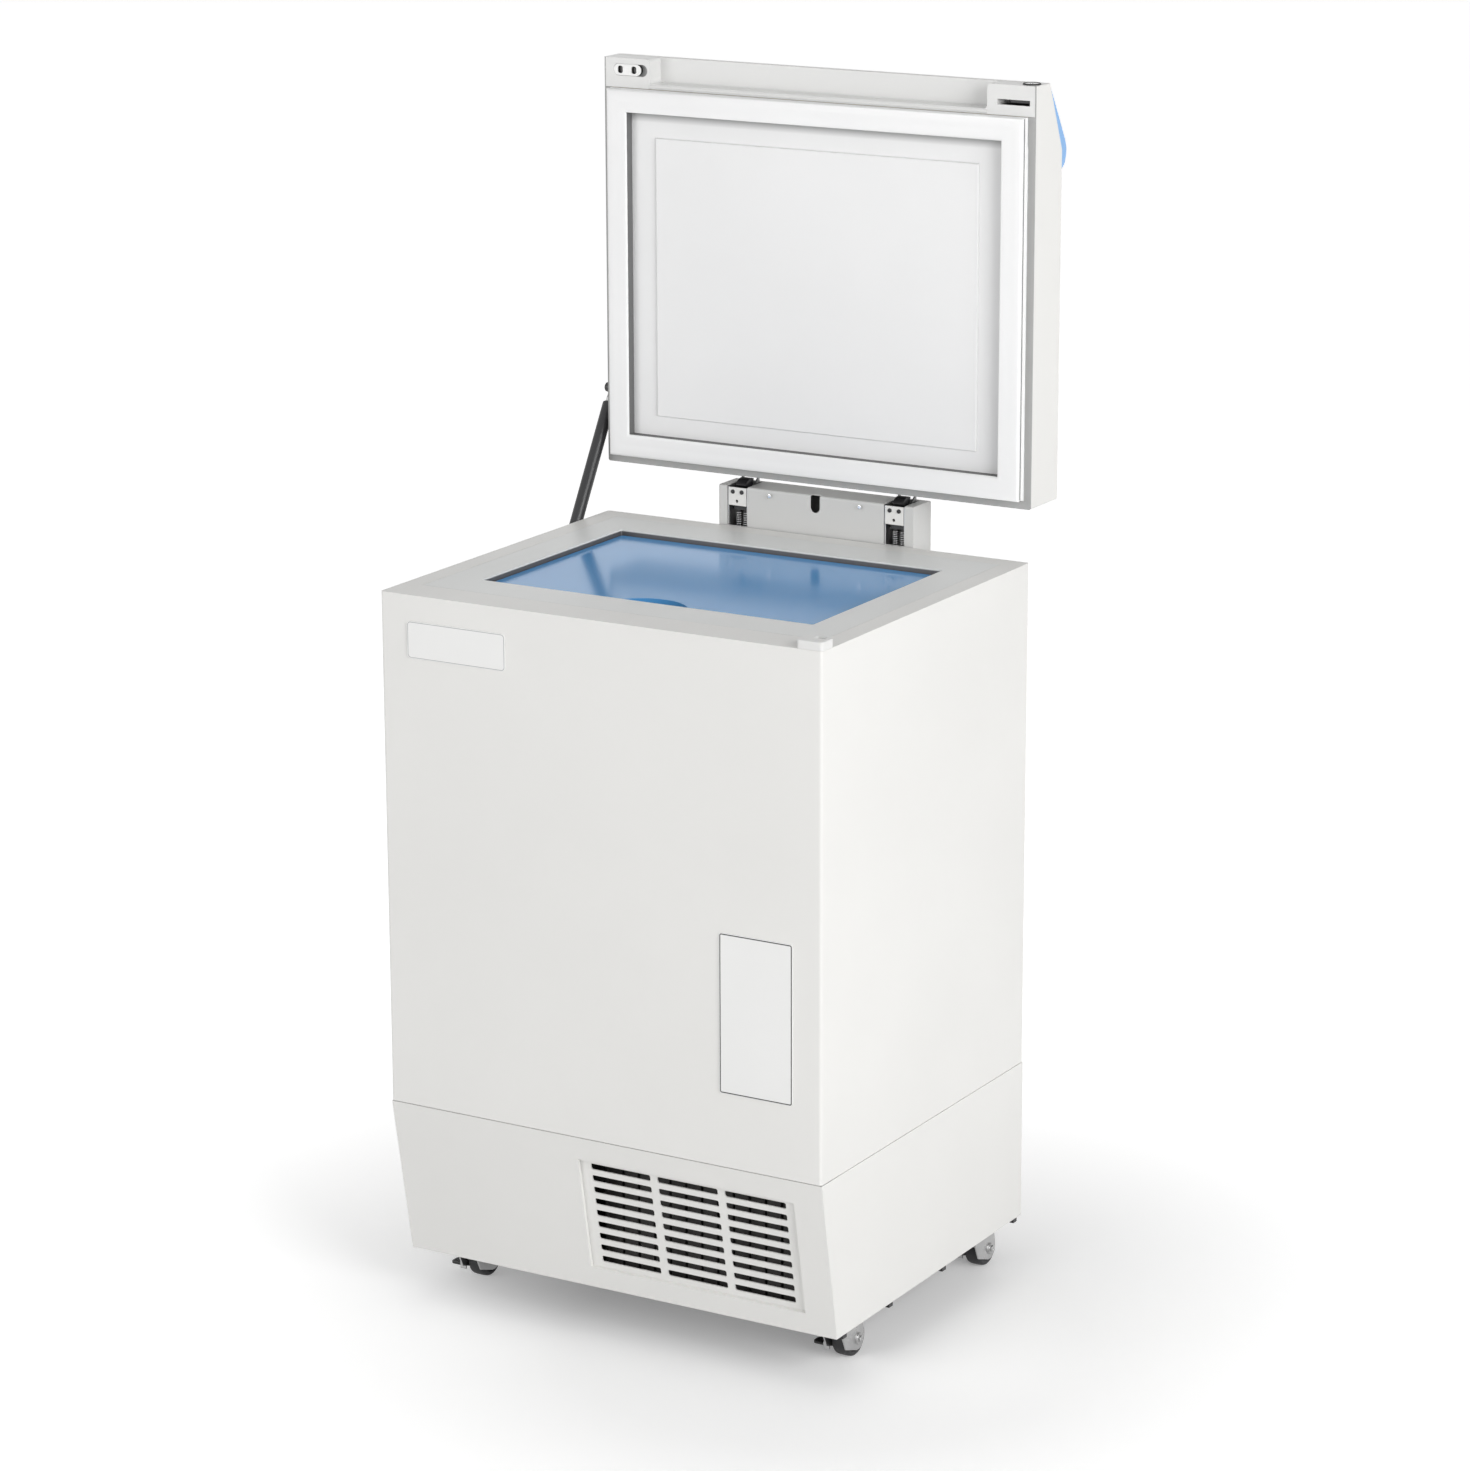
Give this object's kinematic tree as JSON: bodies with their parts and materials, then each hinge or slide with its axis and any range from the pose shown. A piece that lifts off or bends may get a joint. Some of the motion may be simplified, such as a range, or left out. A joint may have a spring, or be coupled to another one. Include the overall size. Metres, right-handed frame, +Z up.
{
  "type": "ultra low temperature freezer",
  "caption": "Chest type ultra low temperature freezer on casters, lid standing open on spring hinges and a gas strut, over a lift-off inner cover and a steel chamber",
  "frame": {"origin": "the middle of the whole object's footprint at rest, at floor level", "axes": "+Z up, +X to the right as seen from the front, front towards -Y"},
  "size_m": [0.677, 0.6542, 1.6155],
  "materials": {
    "body_white": "semi-gloss warm white paint",
    "plate_white": "gloss white film on a thin plate",
    "collar_grey": "satin pale grey moulding",
    "steel": "satin stainless sheet",
    "bright_steel": "polished rod",
    "dark_metal": "black painted steel",
    "foam": "foamed insulation",
    "cover_blue": "glossy pale blue moulding",
    "white_plastic": "glossy white moulding",
    "gasket_white": "soft white extrusion",
    "liner_white": "coated inner sheet",
    "console_blue": "blue moulding",
    "display_dark": "dark window",
    "keypad_grey": "membrane keys",
    "black_plastic": "black moulding",
    "wheel_grey": "hard dark tread",
    "copper": "bare tube and fins",
    "machine_black": "black enamel"
  },
  "bodies": {
    "cabinet": {"cabinet_shell": "body_white", "cabinet_floor": "steel", "insulation_foam": "foam", "inner_tank": "steel", "top_collar": "collar_grey", "strike_block": "white_plastic", "side_panel_left": "body_white", "side_panel_right": "body_white", "kick_panel": "body_white", "front_grille": "body_white", "rear_cover": "body_white", "base_chassis": "dark_metal", "condenser": "copper", "fan_shroud": "dark_metal", "fan_motor": "machine_black", "compressor": "machine_black", "control_box": "steel", "power_inlet": "black_plastic", "hinge_cover": "body_white", "hinge_channels": "steel", "hinge_plates": "body_white", "hinge_springs": "dark_metal", "hinge_pins": "bright_steel", "strut_bracket": "dark_metal", "badge_plate": "plate_white", "label_plate": "plate_white", "caster_plates": "steel"},
    "lid": {"lid_shell": "body_white", "lid_foam": "foam", "lid_liner": "liner_white", "gasket": "gasket_white", "front_grip": "white_plastic", "corner_insert": "white_plastic", "console": "console_blue", "display_window": "display_dark", "keypad": "keypad_grey", "hinge_arms": "dark_metal", "strut_stud": "dark_metal", "lock_bezel": "black_plastic"},
    "lock": {"lock_barrel": "bright_steel", "lock_cam": "bright_steel"},
    "strut_upper": {"strut_tube": "dark_metal"},
    "strut_lower": {"strut_rod": "dark_metal"},
    "inner_cover": {"cover_skin": "cover_blue", "cover_foam": "foam"},
    "fan": {"fan_rotor": "black_plastic"},
    "swivel_front_left": {"caster_fork_front_left": "steel"},
    "wheel_front_left": {"caster_wheel_front_left": "wheel_grey"},
    "brake_front_left": {"brake_pedal_front_left": "black_plastic"},
    "swivel_front_right": {"caster_fork_front_right": "steel"},
    "wheel_front_right": {"caster_wheel_front_right": "wheel_grey"},
    "brake_front_right": {"brake_pedal_front_right": "black_plastic"},
    "swivel_rear_left": {"caster_fork_rear_left": "steel"},
    "wheel_rear_left": {"caster_wheel_rear_left": "wheel_grey"},
    "brake_rear_left": {"brake_pedal_rear_left": "black_plastic"},
    "swivel_rear_right": {"caster_fork_rear_right": "steel"},
    "wheel_rear_right": {"caster_wheel_rear_right": "wheel_grey"},
    "brake_rear_right": {"brake_pedal_rear_right": "black_plastic"}
  },
  "joints": [
    {"name": "lid_hinge", "type": "hinge", "parent": "cabinet", "child": "lid", "pos_m": [0.011, 0.25955, 1.028], "axis": [1, 0, 0], "range_deg": [0, 90]},
    {"name": "lock_turn", "type": "hinge", "parent": "lid", "child": "lock", "pos_m": [0.3235, 0.25065, 1.6135], "axis": [0, 0, 1], "range_deg": [0, 90]},
    {"name": "strut_swing", "type": "hinge", "parent": "lid", "child": "strut_upper", "pos_m": [-0.32725, 0.26505, 1.1517], "axis": [1, 0, 0], "range_deg": [-77.93, 0.5]},
    {"name": "strut_slide", "type": "slide", "parent": "strut_upper", "child": "strut_lower", "axis": [0, 0.5045, 0.8634], "range_m": [-0.0005, 0.16202]},
    {"name": "cover_lift", "type": "slide", "parent": "cabinet", "child": "inner_cover", "axis": [0, 0, 1], "range_m": [0, 0.45]},
    {"name": "fan_spin", "type": "hinge", "parent": "cabinet", "child": "fan", "pos_m": [0.1332, -0.21295, 0.177], "axis": [0, 1, 0], "continuous": true},
    {"name": "swivel_turn_front_left", "type": "hinge", "parent": "cabinet", "child": "swivel_front_left", "pos_m": [-0.273, -0.20295, 0.058], "axis": [0, 0, 1], "continuous": true},
    {"name": "wheel_roll_front_left", "type": "hinge", "parent": "swivel_front_left", "child": "wheel_front_left", "pos_m": [-0.273, -0.17595, 0.025], "axis": [1, 0, 0], "continuous": true},
    {"name": "brake_press_front_left", "type": "hinge", "parent": "swivel_front_left", "child": "brake_front_left", "pos_m": [-0.2925, -0.19095, 0.0175], "axis": [0, -1, 0], "range_deg": [0, 15]},
    {"name": "swivel_turn_front_right", "type": "hinge", "parent": "cabinet", "child": "swivel_front_right", "pos_m": [0.295, -0.20295, 0.058], "axis": [0, 0, 1], "continuous": true},
    {"name": "wheel_roll_front_right", "type": "hinge", "parent": "swivel_front_right", "child": "wheel_front_right", "pos_m": [0.295, -0.17595, 0.025], "axis": [1, 0, 0], "continuous": true},
    {"name": "brake_press_front_right", "type": "hinge", "parent": "swivel_front_right", "child": "brake_front_right", "pos_m": [0.2755, -0.19095, 0.0175], "axis": [0, -1, 0], "range_deg": [0, 15]},
    {"name": "swivel_turn_rear_left", "type": "hinge", "parent": "cabinet", "child": "swivel_rear_left", "pos_m": [-0.273, 0.16905, 0.058], "axis": [0, 0, 1], "continuous": true},
    {"name": "wheel_roll_rear_left", "type": "hinge", "parent": "swivel_rear_left", "child": "wheel_rear_left", "pos_m": [-0.273, 0.19605, 0.025], "axis": [1, 0, 0], "continuous": true},
    {"name": "brake_press_rear_left", "type": "hinge", "parent": "swivel_rear_left", "child": "brake_rear_left", "pos_m": [-0.2925, 0.18105, 0.0175], "axis": [0, -1, 0], "range_deg": [0, 15]},
    {"name": "swivel_turn_rear_right", "type": "hinge", "parent": "cabinet", "child": "swivel_rear_right", "pos_m": [0.295, 0.16905, 0.058], "axis": [0, 0, 1], "continuous": true},
    {"name": "wheel_roll_rear_right", "type": "hinge", "parent": "swivel_rear_right", "child": "wheel_rear_right", "pos_m": [0.295, 0.19605, 0.025], "axis": [1, 0, 0], "continuous": true},
    {"name": "brake_press_rear_right", "type": "hinge", "parent": "swivel_rear_right", "child": "brake_rear_right", "pos_m": [0.2755, 0.18105, 0.0175], "axis": [0, -1, 0], "range_deg": [0, 15]}
  ],
  "couplings": [
    {"joint": "strut_swing", "follows": "lid_hinge", "ratio": -0.8603},
    {"joint": "strut_slide", "follows": "lid_hinge", "m_per_rad": 0.10283}
  ]
}
